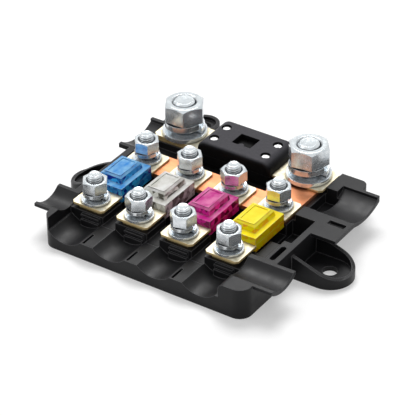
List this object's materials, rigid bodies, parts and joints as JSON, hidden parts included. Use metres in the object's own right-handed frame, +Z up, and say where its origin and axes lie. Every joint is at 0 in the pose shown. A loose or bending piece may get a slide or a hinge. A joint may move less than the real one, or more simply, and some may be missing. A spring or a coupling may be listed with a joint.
{
  "type": "fuse box",
  "caption": "Open moulded tray that carries a row of bolt-down strip fuses on a shared bus bar and one larger strip fuse, with cable scoops, side saddles and screw lugs.",
  "frame": {"origin": "on the mounting plane, straight below the middle of the front row of small studs", "axes": "+X along the row of small fuses, +Y from the cable scoops to the large fuse, +Z up from the mounting plane"},
  "size_m": [0.1114, 0.0942, 0.0243],
  "materials": {
    "black_plastic": "semi-gloss moulded",
    "copper": "satin",
    "tin_plate": "satin tinned",
    "zinc": "bright zinc plated",
    "blue_plastic": "translucent",
    "clear_plastic": "translucent",
    "pink_plastic": "translucent",
    "yellow_plastic": "translucent",
    "dark_plastic": "fine grained",
    "rivet_metal": "bright"
  },
  "bodies": {
    "root": {"bus_bar": "copper", "contact_plates": "tin_plate", "housing": "black_plastic", "large_base": "dark_plastic", "large_contact_plate": "tin_plate", "large_cover": "dark_plastic", "large_flat_washers": "zinc", "large_nuts": "zinc", "large_rivets": "rivet_metal", "large_spring_washers": "zinc", "large_strip": "tin_plate", "large_studs": "zinc", "small_base_1": "blue_plastic", "small_base_2": "clear_plastic", "small_base_3": "pink_plastic", "small_base_4": "yellow_plastic", "small_cover_1": "blue_plastic", "small_cover_2": "clear_plastic", "small_cover_3": "pink_plastic", "small_cover_4": "yellow_plastic", "small_flat_washers": "zinc", "small_nuts": "zinc", "small_spring_washers": "zinc", "small_strip_1": "tin_plate", "small_strip_2": "tin_plate", "small_strip_3": "tin_plate", "small_strip_4": "tin_plate", "small_studs": "zinc"}
  },
  "joints": []
}
